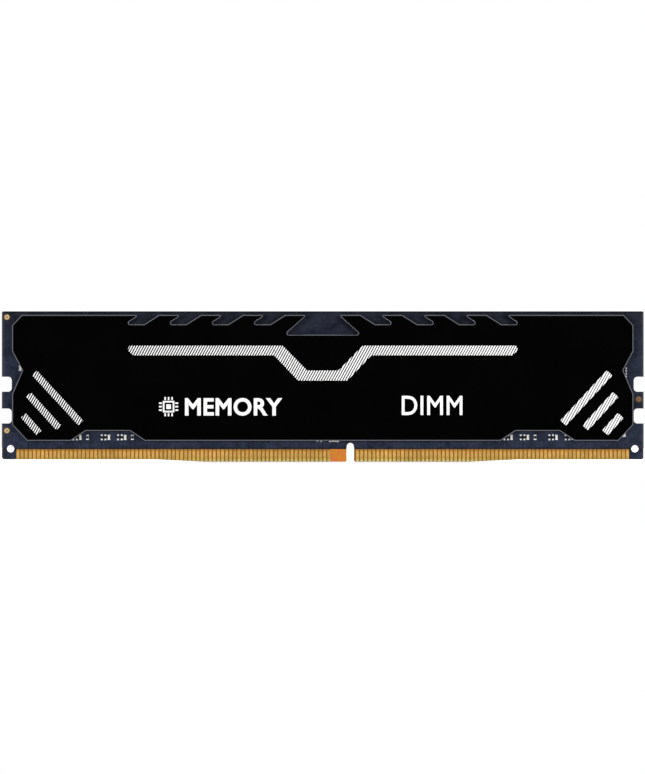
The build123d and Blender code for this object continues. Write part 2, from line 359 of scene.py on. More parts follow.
def bare_aluminium_material():
    """The thin line of bright metal that the cutter left along the spreader's rim."""
    made = new_material("bare_aluminium", (0.36, 0.36, 0.41), 0.38, metallic=1.0)
    tree = made.node_tree
    streaks = noise_socket(tree, 0.35 * MM, 4.0, (1, 6, 1))
    shades = [(0.25, (0.36, 0.37, 0.43)), (0.75, (0.50, 0.51, 0.58))]
    connect(made, ramp_socket(tree, streaks, shades), "Base Color")
    connect(made, range_socket(tree, streaks, 0.28, 0.48), "Roughness")
    return made


def ink_material():
    """Thick white screen-printing ink."""
    made = new_material("white_ink", (0.88, 0.88, 0.87), 0.55, specular=0.3)
    tree = made.node_tree
    cloud = noise_socket(tree, 1.1 * MM, 4.0)
    shades = [(0.25, (0.86, 0.86, 0.86)), (0.60, (0.96, 0.96, 0.95))]
    connect(made, ramp_socket(tree, cloud, shades), "Base Color")
    set_bump(made, noise_socket(tree, 0.12 * MM), 0.3, 0.006 * MM)
    return made


def mask_material(name, base, lift, end, top, line):
    """Dark blue solder mask; lift raises its colour where copper lies under it.

    It is darker towards the board's upper edge, at height top, as a painted shade that deepens towards
    the top, and darker still along the edge itself. It is darker in a line along the upper ends of the
    contacts, at height line. It is rubbed pale along the board's ends, at the distance end from the
    middle.
    """
    made = new_material(name, base, 0.34, specular=0.2)
    tree = made.node_tree
    cloud = noise_socket(tree, 1.9 * MM, 5.0)
    weave = noise_socket(tree, 0.55 * MM, 2.0)
    mixed = math_socket(tree, "MULTIPLY", cloud, range_socket(tree, weave, 0.62, 1.38))
    dark = tuple(0.62 * lift * channel for channel in base)
    light = tuple(1.44 * lift * channel for channel in base)
    colour = ramp_socket(tree, mixed, [(0.30, dark), (0.70, light)])
    height = axis_socket(tree, "Z")
    # Painted shade: the mask colour is made darker towards the board's top.
    upper = range_socket(tree, height, 1.0, 0.58, 0.76 * top, 0.90 * top)
    # Darker still in a strip along the board's top edge.
    border = range_socket(tree, height, 1.0, 0.35, top - 0.60 * MM, top - 0.25 * MM)
    # Darker in a line along the upper ends of the contacts.
    from_line = math_socket(tree, "ABSOLUTE", math_socket(tree, "SUBTRACT", height, line))
    thin = range_socket(tree, from_line, 0.40, 1.0, 0.22 * MM, 0.38 * MM)
    shade = math_socket(tree, "MULTIPLY", math_socket(tree, "MULTIPLY", upper, border), thin)
    sideways = math_socket(tree, "ABSOLUTE", axis_socket(tree, "X"))
    worn = range_socket(tree, sideways, 0, 1, end - 0.50 * MM, end - 0.10 * MM)
    rubbed = ramp_socket(tree, weave, [(0.3, (0.034, 0.032, 0.034)), (0.7, (0.060, 0.055, 0.054))])
    colour = mix_socket(tree, worn, tint_socket(tree, colour, shade), rubbed)
    connect(made, colour, "Base Color")
    connect(made, range_socket(tree, cloud, 0.28, 0.42), "Roughness")
    set_bump(made, weave, 0.18, 0.01 * MM)
    return made


def laminate_material(orange_low, orange_high, orange_top, face):
    """Glass-epoxy laminate: layered edges, and flat faces that show between the contacts.

    The faces are orange from orange_low to orange_high along X and below orange_top, and darker
    brown elsewhere, as between the contacts. They lie at the distance face from the middle plane.
    """
    made = new_material("laminate", (0.25, 0.13, 0.035), 0.5, specular=0.12)
    tree = made.node_tree
    weave = noise_socket(tree, 0.30 * MM, 3.0, (1, 1, 2))
    brown = ramp_socket(tree, weave, [(0.3, (0.21, 0.080, 0.004)), (0.7, (0.30, 0.122, 0.010))])
    patches = noise_socket(tree, 0.9 * MM, 2.0)
    shades = [(0.35, (0.54, 0.215, 0.016)), (0.50, (0.57, 0.170, 0.026)), (0.65, (0.61, 0.160, 0.052))]
    orange = ramp_socket(tree, patches, shades)
    middle = (orange_low + orange_high) / 2
    half = (orange_high - orange_low) / 2
    away = math_socket(tree, "ABSOLUTE", math_socket(tree, "SUBTRACT", axis_socket(tree, "X"), middle))
    beside_key = range_socket(tree, away, 1, 0, half, half + 0.1 * MM)
    low_down = range_socket(tree, axis_socket(tree, "Z"), 1, 0, orange_top, orange_top + 0.1 * MM)
    on_face = mix_socket(tree, math_socket(tree, "MULTIPLY", beside_key, low_down), brown, orange)
    depth = math_socket(tree, "ABSOLUTE", axis_socket(tree, "Y"))
    layers = math_socket(tree, "SINE", math_socket(tree, "MULTIPLY", depth, math.tau / (0.19 * MM)))
    fibres = noise_socket(tree, 0.10 * MM, 4.0, (0.25, 1, 0.25))
    layered = math_socket(tree, "ADD", math_socket(tree, "MULTIPLY", layers, 0.25), fibres)
    on_edge = ramp_socket(tree, layered, [(0.25, (0.10, 0.065, 0.030)), (0.75, (0.27, 0.20, 0.10))])
    is_face = range_socket(tree, depth, 0, 1, face - 0.010 * MM, face - 0.004 * MM)
    connect(made, mix_socket(tree, is_face, on_edge, on_face), "Base Color")
    set_bump(made, weave, 0.2, 0.01 * MM)
    return made


def gold_material(low, high, pitch):
    """Gold plating whose colour changes up each contact and from contact to contact."""
    made = new_material("contact_gold", (0.62, 0.36, 0.10), 0.36, metallic=0.75)
    tree = made.node_tree
    upwards = range_socket(tree, axis_socket(tree, "Z"), 0, 1, low, high)
    ragged = math_socket(tree, "MULTIPLY", noise_socket(tree, 0.4 * MM), 0.16)
    stops = [
        (0.08, (0.80, 0.74, 0.40)),
        (0.20, (0.66, 0.55, 0.15)),
        (0.34, (0.62, 0.39, 0.07)),
        (0.58, (0.72, 0.45, 0.14)),
        (0.88, (0.76, 0.41, 0.08)),
        (1.00, (0.46, 0.23, 0.06)),
    ]
    colour = ramp_socket(tree, math_socket(tree, "ADD", upwards, ragged), stops)
    steps = math_socket(tree, "DIVIDE", axis_socket(tree, "X"), pitch)
    number = math_socket(tree, "FLOOR", steps)
    chance = add_node(tree, "ShaderNodeTexWhiteNoise", {"W": number}, noise_dimensions="1D")
    shade = range_socket(tree, chance.outputs[0], 0.90, 1.08, 0, 1)
    zones = range_socket(tree, noise_socket(tree, 8 * MM, 2.0), 0.88, 1.12)
    streaks = range_socket(tree, noise_socket(tree, 0.30 * MM, 2.0, (1, 1, 0.35)), 0.84, 1.16)
    uneven = math_socket(tree, "MULTIPLY", math_socket(tree, "MULTIPLY", shade, zones), streaks)
    connect(made, tint_socket(tree, colour, uneven), "Base Color")
    scuffs = noise_socket(tree, 0.12 * MM, 4.0, (3, 1, 0.4))
    connect(made, range_socket(tree, scuffs, 0.26, 0.50), "Roughness")
    set_bump(made, scuffs, 0.12, 0.006 * MM)
    return made


def pad_gold_material(dull_from):
    """Gold of the alignment pads; the one past dull_from along X is darker, as if uncoated."""
    made = new_material("pad_gold", (0.60, 0.42, 0.20), 0.4, metallic=0.7)
    tree = made.node_tree
    worn = range_socket(tree, axis_socket(tree, "X"), 0, 1, dull_from, dull_from + MM)
    shades = [(0.0, (0.66, 0.46, 0.22)), (1.0, (0.30, 0.155, 0.065))]
    cloud = range_socket(tree, noise_socket(tree, 0.25 * MM), 0.85, 1.15)
    connect(made, tint_socket(tree, ramp_socket(tree, worn, shades), cloud), "Base Color")
    set_bump(made, noise_socket(tree, 0.12 * MM), 0.15, 0.005 * MM)
    return made


def metal_material(name, base, rough_low, rough_high, grain):
    """A plated or soldered metal with a slightly uneven, mottled surface."""
    made = new_material(name, base, rough_low, metallic=0.35)
    tree = made.node_tree
    mottle = noise_socket(tree, grain, 4.0)
    dark = tuple(0.84 * channel for channel in base)
    connect(made, ramp_socket(tree, mottle, [(0.3, dark), (0.65, base)]), "Base Color")
    connect(made, range_socket(tree, mottle, rough_low, rough_high), "Roughness")
    set_bump(made, mottle, 0.3, 0.01 * MM)
    return made


def speckled_material(name, base, roughness, grain, contrast, specular=0.5):
    """A moulded or fired material with small lighter and darker grains."""
    made = new_material(name, base, roughness, specular=specular)
    tree = made.node_tree
    speckle = noise_socket(tree, grain, 5.0)
    dark = tuple((1 - contrast) * channel for channel in base)
    light = tuple((1 + contrast) * channel for channel in base)
    connect(made, ramp_socket(tree, speckle, [(0.35, dark), (0.65, light)]), "Base Color")
    connect(made, range_socket(tree, speckle, roughness - 0.06, roughness + 0.08), "Roughness")
    set_bump(made, speckle, 0.25, 0.01 * MM)
    return made


def floor_material():
    """A pale studio floor with a faint grain, which glows white further from the object."""
    made = new_material("floor_white", (0.9, 0.9, 0.9), 0.8, specular=0.1)
    tree = made.node_tree
    shades = [(0.3, (0.88, 0.88, 0.88)), (0.7, (0.92, 0.92, 0.92))]
    connect(made, ramp_socket(tree, noise_socket(tree, 20 * MM), shades), "Base Color")
    surface_of(made).inputs["Emission Color"].default_value = (1, 1, 1, 1)
    place = place_socket(tree)
    away = add_node(tree, "ShaderNodeVectorMath", {0: place}, operation="LENGTH").outputs["Value"]
    connect(made, range_socket(tree, away, 0.64, 0.88, 0.05, 0.30), "Emission Strength")
    return made


MASK_BLUE = (0.0112, 0.0169, 0.0374)

laminate_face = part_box("circuit_board")[1].y
contacts_low, contacts_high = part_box("edge_contacts_front")
contact_solids = solids("edge_contacts_front")
contact_pitch = contact_solids[1][0].x - contact_solids[0][0].x
mounts = {mount["name"]: mount for mount in frame["record"]["mounts"]}
key_place = Vector(mounts["key_slot"]["pos_m"])

black_anodised = anodised_material()
bare_aluminium = bare_aluminium_material()
white_ink = ink_material()
mask_places = (cad_high.x, cad_high.z, contacts_high.z)
solder_mask = mask_material("solder_mask", MASK_BLUE, 1.0, *mask_places)
covered_copper = mask_material("solder_mask_over_copper", MASK_BLUE, 1.45, *mask_places)
bare_from, _ = widest_gap(contact_solids)
laminate = laminate_material(bare_from, key_place.x, 2 * contacts_high.z, laminate_face)
contact_gold = gold_material(contacts_low.z, contacts_high.z, contact_pitch)
pad_gold = pad_gold_material(0.8 * cad_high.x)
tin = metal_material("tin_plating", (0.88, 0.90, 0.92), 0.30, 0.46, 0.12 * MM)
solder = metal_material("solder", (0.84, 0.87, 0.90), 0.22, 0.36, 0.20 * MM)
chip_mould = speckled_material("chip_mould", (0.018, 0.018, 0.020), 0.62, 0.07 * MM, 0.35)
substrate = speckled_material("chip_substrate", (0.030, 0.050, 0.028), 0.45, 0.20 * MM, 0.25)
ceramic = speckled_material("capacitor_ceramic", (0.78, 0.75, 0.59), 0.42, 0.06 * MM, 0.12)
alumina = speckled_material("resistor_alumina", (0.78, 0.78, 0.75), 0.50, 0.05 * MM, 0.08)
coating = speckled_material("resistor_coating", (0.006, 0.006, 0.008), 0.30, 0.10 * MM, 0.2, 0.2)
pad_silicone = speckled_material("thermal_silicone", (0.27, 0.31, 0.36), 0.75, 0.14 * MM, 0.18)
bare_ring = speckled_material("bare_ring", (0.060, 0.034, 0.014), 0.5, 0.10 * MM, 0.35)
hole_dark = speckled_material("filled_hole", (0.020, 0.020, 0.030), 0.55, 0.05 * MM, 0.3)


# ==================== circuit board
RELIEF = 0.014 * MM                # how far covered copper stands up through the mask
TRACE_WIDTH = 0.13 * MM            # of the traces that lead up from the contacts
WIDE_TRACE = 1.6                   # how much wider a trace is if it ends in a plated hole
EDGE_TRACE_WIDTH = 0.12 * MM       # of the traces round the plate's rim
TRACE_GAP = 0.02 * MM              # from the top of a contact to its trace
TRACE_REACH = 2.6 * MM             # how far up behind the plate's lower edge the traces run
VIA_CHANCE = 0.42                  # the share of contact traces that end in a plated hole
VIA_RISE = (0.45, 1.35)            # least and most length of such a trace, in mm
VIA_RADIUS = 0.22 * MM
VIA_HOLE_RADIUS = 0.09 * MM
CONTACT_CORNER = 0.10 * MM
PAD_HOLE_RADIUS = 0.15 * MM

mask_low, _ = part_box("solder_mask_front")
board_face = abs(mask_low.y)
plate_low, plate_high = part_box("heat_spreader_front")


def make_contacts(side_name, side):
    """The gold fingers, each with softened edges and a thin plating tail towards the board's edge."""
    top_rounding = 0.015 * MM
    tail_width = 0.10 * MM
    tail_length = 0.08 * MM
    bm = bmesh.new()
    for low, high in contact_solids:
        outline = rounded_rectangle(flat(low), flat(high), CONTACT_CORNER)
        steps = (
            (0, laminate_face),
            (0, board_face - top_rounding),
            (top_rounding, board_face),
        )
        add_prism(bm, outline, steps, side)
        middle = (low.x + high.x) / 2
        tail_low = Vector((middle - tail_width / 2, low.z - tail_length))
        tail_high = Vector((middle + tail_width / 2, low.z + tail_length))
        tail = rounded_rectangle(tail_low, tail_high, tail_width / 4, 2)
        add_prism(bm, tail, ((0, laminate_face), (0, board_face - 1.5 * top_rounding)), side)
    name = f"gold_contacts_{side_name}"
    new_piece(name, bm, [contact_gold], [f"edge_contacts_{side_name}"])


def make_alignment_pads(side_name, side):
    """The gold alignment pads, each in a round opening of the mask and with a filled hole."""
    rim = 0.012 * MM
    opening = 0.16 * MM
    opening_face = board_face + 0.003 * MM
    pad_face = board_face + 0.010 * MM
    bm = bmesh.new()
    openings = bmesh.new()
    holes = bmesh.new()
    for low, high in solids(f"alignment_pads_{side_name}"):
        centre = (flat(low) + flat(high)) / 2
        radius = (high.x - low.x) / 2
        steps = ((0, laminate_face), (0, pad_face - rim), (rim, pad_face))
        add_prism(bm, circle(centre, radius, 40), steps, side)
        opening_steps = ((0, laminate_face), (0, opening_face))
        add_prism(openings, circle(centre, radius + opening, 40), opening_steps, side)
        hole_steps = ((0, laminate_face), (0, pad_face + rim / 4))
        add_prism(holes, circle(centre, PAD_HOLE_RADIUS, 20), hole_steps, side)
    name = f"gold_pads_{side_name}"
    new_piece(name, bm, [pad_gold], [f"alignment_pads_{side_name}"])
    new_piece(f"pad_openings_{side_name}", openings, [bare_ring])
    new_piece(f"pad_holes_{side_name}", holes, [hole_dark])


def relief_steps():
    """How covered copper stands up through the mask: (inset, distance) pairs."""
    return (
        (0, board_face - RELIEF),
        (0, board_face + 0.6 * RELIEF),
        (0.5 * RELIEF, board_face + RELIEF),
    )


def make_edge_traces(side_name, side):
    """Fine traces under the mask in the strips that the plate leaves open round its rim."""
    # Upright ones, in mm: how far in from the board's end, and from where to where below its top.
    upright = ((1.15, 4.0, 9.5), (1.55, 2.2, 5.2), (1.85, 2.6, 11.8))
    # Level ones, in mm: how far below the board's top, and how far they reach to each side.
    level = ((0.45, 58.0), (2.2, 6.0), (3.1, 6.5), (3.9, 7.0))
    bm = bmesh.new()
    trace = EDGE_TRACE_WIDTH
    top = cad_high.z
    for hand in (-1, 1):
        for inward, from_top, to_top in upright:
            x = hand * (cad_high.x - inward * MM)
            start = Vector((x - trace / 2, top - to_top * MM))
            end = Vector((x + trace / 2, top - from_top * MM))
            add_prism(bm, rounded_rectangle(start, end, trace / 3, 3), relief_steps(), side)
    for below_top, half_length in level:
        z = top - below_top * MM
        start = Vector((-half_length * MM, z - trace / 2))
        end = Vector((half_length * MM, z + trace / 2))
        add_prism(bm, rounded_rectangle(start, end, trace / 3, 3), relief_steps(), side)
    new_piece(f"edge_traces_{side_name}", bm, [covered_copper])


def make_copper_relief(side_name, side):
    """Traces and plated holes that show through the solder mask above the contacts."""
    chance = random.Random(f"relief {side_name}")
    low_end = contacts_high.z + TRACE_GAP
    high_end = plate_low.z + TRACE_REACH
    bm = bmesh.new()
    holes = bmesh.new()
    steps = relief_steps()
    for low, high in contact_solids:
        middle = (low.x + high.x) / 2
        ends_in_hole = chance.random() < VIA_CHANCE
        top = low_end + chance.uniform(*VIA_RISE) * MM if ends_in_hole else high_end
        width = TRACE_WIDTH * (WIDE_TRACE if ends_in_hole else 1.0)
        start = Vector((middle - width / 2, low_end))
        end = Vector((middle + width / 2, top))
        add_prism(bm, rounded_rectangle(start, end, width / 3, 3), steps, side)
        if ends_in_hole:
            centre = Vector((middle, top + 0.5 * VIA_RADIUS))
            add_prism(bm, circle(centre, VIA_RADIUS, 20), steps, side)
            hole_steps = ((0, board_face), (0, board_face + 1.1 * RELIEF))
            add_prism(holes, circle(centre, VIA_HOLE_RADIUS, 12), hole_steps, side)
    new_piece(f"covered_copper_{side_name}", bm, [covered_copper])
    new_piece(f"via_holes_{side_name}", holes, [hole_dark])


finish_node("circuit_board", laminate)
for side_name, side in SIDES.items():
    finish_node(f"solder_mask_{side_name}", solder_mask)
    make_contacts(side_name, side)
    make_alignment_pads(side_name, side)
    make_copper_relief(side_name, side)
    make_edge_traces(side_name, side)


# ==================== small surface parts
SOLDER_LENGTH = 0.035 * MM         # how far a fillet reaches beyond its terminal
SOLDER_FLARE = 0.05 * MM           # how much wider a fillet is at its foot, on each side
PAD_BORDER = 0.03 * MM             # how far a landing pad shows all round its terminal
PAD_REACH = 0.02 * MM              # and how much further it reaches at the outer end
PAD_HEIGHT = 0.02 * MM
COAT = 0.02 * MM                   # thickness of the dark coating on a resistor


def outward_from(terminal, bodies):
    """Which way a terminal points from the body it ends: an (x, z) unit vector."""
    centre = (flat(terminal[0]) + flat(terminal[1])) / 2

    def gap(body):
        nearest_x = min(max(centre.x, body[0].x), body[1].x)
        nearest_z = min(max(centre.y, body[0].z), body[1].z)
        return centre - Vector((nearest_x, nearest_z))

    away = min((gap(body) for body in bodies), key=lambda vector: vector.length)
    if abs(away.x) > abs(away.y):
        return Vector((math.copysign(1, away.x), 0))
    return Vector((0, math.copysign(1, away.y)))


def add_block(bm, low, high, side, rounding, shrink=0.0):
    """A box with rounded corners and a softened outer face, standing on the board."""
    bend = 0.3 * rounding          # the middle point of the softened edge
    base, top = sorted((abs(low.y), abs(high.y)))
    outline = rounded_rectangle(flat(low), flat(high), rounding + shrink)
    outline = inset(outline, shrink) if shrink else outline
    steps = (
        (0, base),
        (0, top - rounding),
        (bend, top - bend),
        (rounding, top),
    )
    add_prism(bm, outline, steps, side)


def add_solder(bm, terminal, outward, side):
    """A concave solder fillet from a terminal's end down to its landing pad."""
    # How far out (of the fillet's length) and how high (of the terminal's height) its slope goes.
    profile = ((-0.04, 0.0), (-0.04, 0.82), (0.10, 0.52), (0.30, 0.27), (0.62, 0.12), (1.0, 0.05))
    low, high = terminal
    base, top = sorted((abs(low.y), abs(high.y)))
    across = Vector((-outward.y, outward.x))
    size = flat(high) - flat(low)
    half_width = abs(size.dot(across)) / 2
    end = (flat(low) + flat(high)) / 2 + outward * abs(size.dot(outward)) / 2
    rows = []
    for reach, rise in profile:
        spread = half_width + SOLDER_FLARE * (1 - rise)
        place = end + outward * (reach * SOLDER_LENGTH)
        depth = side * (base + rise * (top - base))
        row = [place + across * offset for offset in (-spread, 0, spread)]
        rows.append([bm.verts.new((p.x, depth, p.y)) for p in row])
    foot_end = end + outward * SOLDER_LENGTH
    foot_spread = half_width + SOLDER_FLARE
    foot = [foot_end + across * offset for offset in (-foot_spread, 0, foot_spread)]
    rows.append([bm.verts.new((p.x, side * base, p.y)) for p in foot])
    count = len(rows)
    for index in range(count):
        here, after = rows[index], rows[(index + 1) % count]
        for column in (0, 1):
            corners = (here[column], here[column + 1], after[column + 1], after[column])
            bm.faces.new(corners).smooth = True
    for column in (0, 2):
        bm.faces.new([row[column] for row in rows])


def make_landing_pads(name, terminals, bodies, side):
    """The tinned pads and solder fillets under and beyond a group of terminals."""
    border = Vector((PAD_BORDER, PAD_BORDER))
    steps = (
        (0, board_face - PAD_HEIGHT),
        (0, board_face + PAD_HEIGHT / 2),
        (PAD_HEIGHT / 2, board_face + PAD_HEIGHT),
    )
    bm = bmesh.new()
    for terminal in terminals:
        outward = outward_from(terminal, bodies)
        below = Vector((min(outward.x, 0), min(outward.y, 0)))
        above = Vector((max(outward.x, 0), max(outward.y, 0)))
        pad_low = flat(terminal[0]) - border + below * PAD_REACH
        pad_high = flat(terminal[1]) + border + above * PAD_REACH
        outline = rounded_rectangle(pad_low, pad_high, 2 * PAD_BORDER, 3)
        add_prism(bm, outline, steps, side)
        add_solder(bm, terminal, outward, side)
    new_piece(name, bm, [solder])


def make_two_part_kind(kind, side_name, side, body_material, coated):
    """Bodies and metal ends of one kind of small part, on one side of the board.

    A coated body carries a dark layer on its outer face; any other is a little slimmer than its ends.
    """
    body_rounding = 0.04 * MM
    end_rounding = 0.045 * MM
    slimming = 0.0 if coated else 0.05   # as a share of the body's smaller side
    body_node = f"{kind}_bodies_{side_name}"
    terminal_node = f"{kind}_terminals_{side_name}"
    bodies = solids(body_node)
    terminals = solids(terminal_node)
    body_mesh = bmesh.new()
    coat_mesh = bmesh.new()
    terminal_mesh = bmesh.new()
    for low, high in bodies:
        smaller = min(high.x - low.x, high.z - low.z)
        add_block(body_mesh, low, high, side, body_rounding, slimming * smaller)
        if coated:
            margin = Vector((0.04 * (high.x - low.x), 0, -0.05 * MM))
            top = max(abs(low.y), abs(high.y))
            outline = rounded_rectangle(flat(low + margin), flat(high - margin), 0.03 * MM, 3)
            steps = ((0, top - COAT), (0, top), (COAT / 2, top + COAT))
            add_prism(coat_mesh, outline, steps, side)
    for low, high in terminals:
        add_block(terminal_mesh, low, high, side, end_rounding)
    new_piece(f"{kind}_blocks_{side_name}", body_mesh, [body_material], [body_node])
    if coated:
        new_piece(f"{kind}_coatings_{side_name}", coat_mesh, [coating])
    else:
        coat_mesh.free()
    name = f"{kind}_ends_{side_name}"
    new_piece(name, terminal_mesh, [tin], [terminal_node])
    make_landing_pads(f"{kind}_solder_{side_name}", terminals, bodies, side)


for side_name, side in SIDES.items():
    make_two_part_kind("capacitor", side_name, side, ceramic, coated=False)
    make_two_part_kind("resistor", side_name, side, alumina, coated=True)
    make_two_part_kind("array", side_name, side, coating, coated=False)


# ==================== memory chips and what is round them
def make_solder_balls(side_name, side):
    """The balls under the memory chips, bulging between board and chip."""
    # How far in (of the radius) and how far out (of the height) the ball's outline goes.
    profile = ((0.26, 0), (0.05, 0.25), (0, 0.50), (0.05, 0.75), (0.26, 1))
    node = f"chip_solder_balls_{side_name}"
    bm = bmesh.new()
    for low, high in solids(node):
        base, top = sorted((abs(low.y), abs(high.y)))
        radius = (high.x - low.x) / 2
        steps = [(shrink * radius, base + rise * (top - base)) for shrink, rise in profile]
        add_prism(bm, circle((flat(low) + flat(high)) / 2, radius, 12), steps, side)
    new_piece(f"solder_balls_{side_name}", bm, [solder], [node])


def make_thermal_pad(side_name, side):
    """The soft silicone pad, squeezed so that its edges bulge and wander a little."""
    node = f"thermal_pad_{side_name}"
    low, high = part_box(node)
    base, top = sorted((abs(low.y), abs(high.y)))
    chance = random.Random(f"pad {side_name}")
    spacing = 2.0 * MM             # from one point of the wandering edge to the next
    wander = 0.10 * MM
    corners = [flat(low), Vector((high.x, low.z)), flat(high), Vector((low.x, high.z))]
    outline = []
    for here, there in zip(corners, corners[1:] + corners[:1]):
        count = round((there - here).length / spacing)
        inward = Vector((here.y - there.y, there.x - here.x)).normalized()
        for step in range(count):
            along = here + (there - here) * (step / count)
            outline.append(along + inward * chance.uniform(0, wander) * (step > 0))
    bulge = 0.14 * MM
    profile = ((1, 0), (0.3, 0.15), (0, 0.50), (0.3, 0.85), (1, 1))
    steps = [(shrink * bulge, base + rise * (top - base)) for shrink, rise in profile]
    bm = bmesh.new()
    add_prism(bm, outline, steps, side)
    new_piece(f"silicone_pad_{side_name}", bm, [pad_silicone], [node])


for side_name, side in SIDES.items():
    make_solder_balls(side_name, side)
    make_thermal_pad(side_name, side)
    finish_node(f"chip_substrates_{side_name}", substrate, 0.02 * MM)
    chips = [node for node in frame["nodes"] if node.startswith(f"memory_chip_{side_name}")]
    for node in chips:
        finish_node(node, chip_mould, 0.06 * MM)
finish_node("identity_chip", chip_mould, 0.05 * MM)
finish_node("identity_chip_leads", tin, 0.01 * MM)


# ==================== heat spreaders
INK = 0.012 * MM                   # thickness of the print
RIM = 0.20 * MM                    # width of the bare-metal chamfer
EDGE_ROUND = 0.03 * MM             # rounding of the plate's inner edge


def make_heat_spreader(side_name, side):
    """The flat plate: black all over, except for the bright chamfer round its outer face.

    The outer face lies the print's thickness back, so that the print ends where the CAD plate does.
    """
    black, bare = 0, 1             # the plate's materials, by number
    node = f"heat_spreader_{side_name}"
    low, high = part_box(node)
    inner, outer = sorted((abs(low.y), abs(high.y)))
    face = outer - INK
    outline = face_outline(node, side * inner)
    # The inner edge, the side, and the chamfer, whose broad middle band is the bare one.
    steps = (
        (EDGE_ROUND, inner),
        (0, inner + EDGE_ROUND),
        (0, face - RIM),
        (0.1 * RIM, face - 0.85 * RIM),
        (0.9 * RIM, face - 0.08 * RIM),
        (1.05 * RIM, face),
    )
    bm = bmesh.new()
    add_prism(bm, outline, steps, side, (black, black, black, bare, black))
    name = f"spreader_plate_{side_name}"
    new_piece(name, bm, [black_anodised, bare_aluminium], [node])


# ==================== white print on the spreaders
STROKE_PITCH = 0.55 * MM
STROKE_WIDTH = 0.31 * MM           # in the middle of the module
STROKE_GROWTH = 0.0011             # how much wider a stroke is per unit of length to the right
STROKE_LEAN = math.radians(61.5)
LEAST_STROKE_AREA = 0.004 * MM * MM
BAND_BELOW_PLATE_TOP = (6.4 * MM, 8.4 * MM)   # how far down its upper and lower edges are
BAR_WIDTHS = {-1: 1.38 * MM, 1: 1.56 * MM}    # in the left and the right corner
BAR_CORNER = 0.22 * MM
WORD_BASE = 5.2 * MM               # the words' feet, up from the plate's lower edge
LETTER_SPACING = 1.06
CURVE_STEPS = 4                    # straight pieces in each curve of a letter
LETTER_WELD = 1e-5                 # as a share of the font's size
CHIP_PICTURE_LEFT = -34.0 * MM
CHIP_PICTURE_DROP = 0.1 * MM       # how far it reaches below the words' feet
CHIP_PICTURE_SIZE = 4.0 * MM
# Each word, with its left end, rise above the others' feet, width and height in mm, and weight.
WORDS = (
    ("MEMORY", -28.6, 0.0, 20.2, 3.7, 0.028),
    ("DIMM", 16.4, 0.15, 12.6, 4.0, 0.010),
)


def hatch(outline):
    """The slanted strokes that fill an outline; they widen towards the right."""
    along = Vector((1, -1 / math.tan(STROKE_LEAN)))
    reach = [along.dot(point) for point in outline]
    first = math.floor(min(reach) / STROKE_PITCH)
    last = math.ceil(max(reach) / STROKE_PITCH)
    strokes = []
    for number in range(first, last):
        start = number * STROKE_PITCH
        width = STROKE_WIDTH + STROKE_GROWTH * start
        stroke = clip(clip(outline, -along, -start), along, start + width)
        if len(stroke) > 2 and abs(area(stroke)) > LEAST_STROKE_AREA:
            strokes.append(stroke)
    return strokes


def band_outline():
    """The long band with its dip in the middle, as an anticlockwise outline."""
    top, below = (plate_high.z - distance for distance in BAND_BELOW_PLATE_TOP)
    # The right half, from the lower edge round the end and back to the middle: x in mm, and z.
    right_half = (
        (39.3, below),
        (40.2, below + 0.75 * MM),
        (40.45, top - 0.6 * MM),
        (40.1, top),
        (8.31, top),
        (3.24, top - 5.15 * MM),
    )
    dip_bottom = top - 7.25 * MM
    dip = ((-10.1, below), (-5.11, dip_bottom), (5.11, dip_bottom), (10.1, below))
    right = [Vector((x * MM, z)) for x, z in right_half]
    left = [Vector((-point.x, point.y)) for point in reversed(right)]
    return [Vector((x * MM, z)) for x, z in dip] + right + left


def bar_outlines():
    """The three slanted bars in each lower corner."""
    # Each bar's upper and lower end, in mm: in from the plate's side and up from its lower edge.
    ends = (
        ((4.80, 14.10), (14.45, 3.69)),
        ((3.55, 9.60), (9.85, 2.71)),
        ((2.50, 5.28), (5.75, 1.67)),
    )
    shift = 0.15 * MM              # both groups sit this far to the left of being mirror images
    outlines = []
    for upper, lower in ends:
        for hand in (-1, 1):
            points = [
                Vector((hand * (plate_high.x - inward * MM) - shift, plate_low.z + rise * MM))
                for inward, rise in (upper, lower)
            ]
            outlines.append(bar_outline(*points, BAR_WIDTHS[hand]))
    return outlines


def bar_outline(start, end, width):
    """A straight bar between two points, with slightly rounded corners."""
    ahead = (end - start).normalized()
    sideways = Vector((-ahead.y, ahead.x))
    half = (end - start).length / 2
    low, high = Vector((-half, -width / 2)), Vector((half, width / 2))
    centre = (start + end) / 2
    corners = rounded_rectangle(low, high, BAR_CORNER)
    return [centre + ahead * point.x + sideways * point.y for point in corners]


def chip_picture(left, base, size):
    """A small picture of a chip: a square frame, its core and its legs."""
    outer = size * 0.30
    inner = size * 0.215
    core = size * 0.12
    leg_width = size * 0.075
    leg_end = size * 0.5
    leg_start = size * 0.345
    leg_spacing = size * 0.18
    centre = Vector((left + size / 2, base + size / 2))
    turns = [(1, 0), (0, 1), (-1, 0), (0, -1)]
    corners = ((-1, -1), (1, -1), (1, 1), (-1, 1))
    shapes = [[centre + Vector((x * core, z * core)) for x, z in corners]]
    for cos, sin in turns:
        def turned(x, z):
            return centre + Vector((x * cos - z * sin, x * sin + z * cos))

        frame_side = ((inner, -inner), (outer, -outer), (outer, outer), (inner, inner))
        shapes.append([turned(x, z) for x, z in frame_side])
        for offset in (-leg_spacing, 0, leg_spacing):
            low, high = offset - leg_width / 2, offset + leg_width / 2
            leg = ((leg_start, low), (leg_end, low), (leg_end, high), (leg_start, high))
            shapes.append([turned(x, z) for x, z in leg])
    return shapes


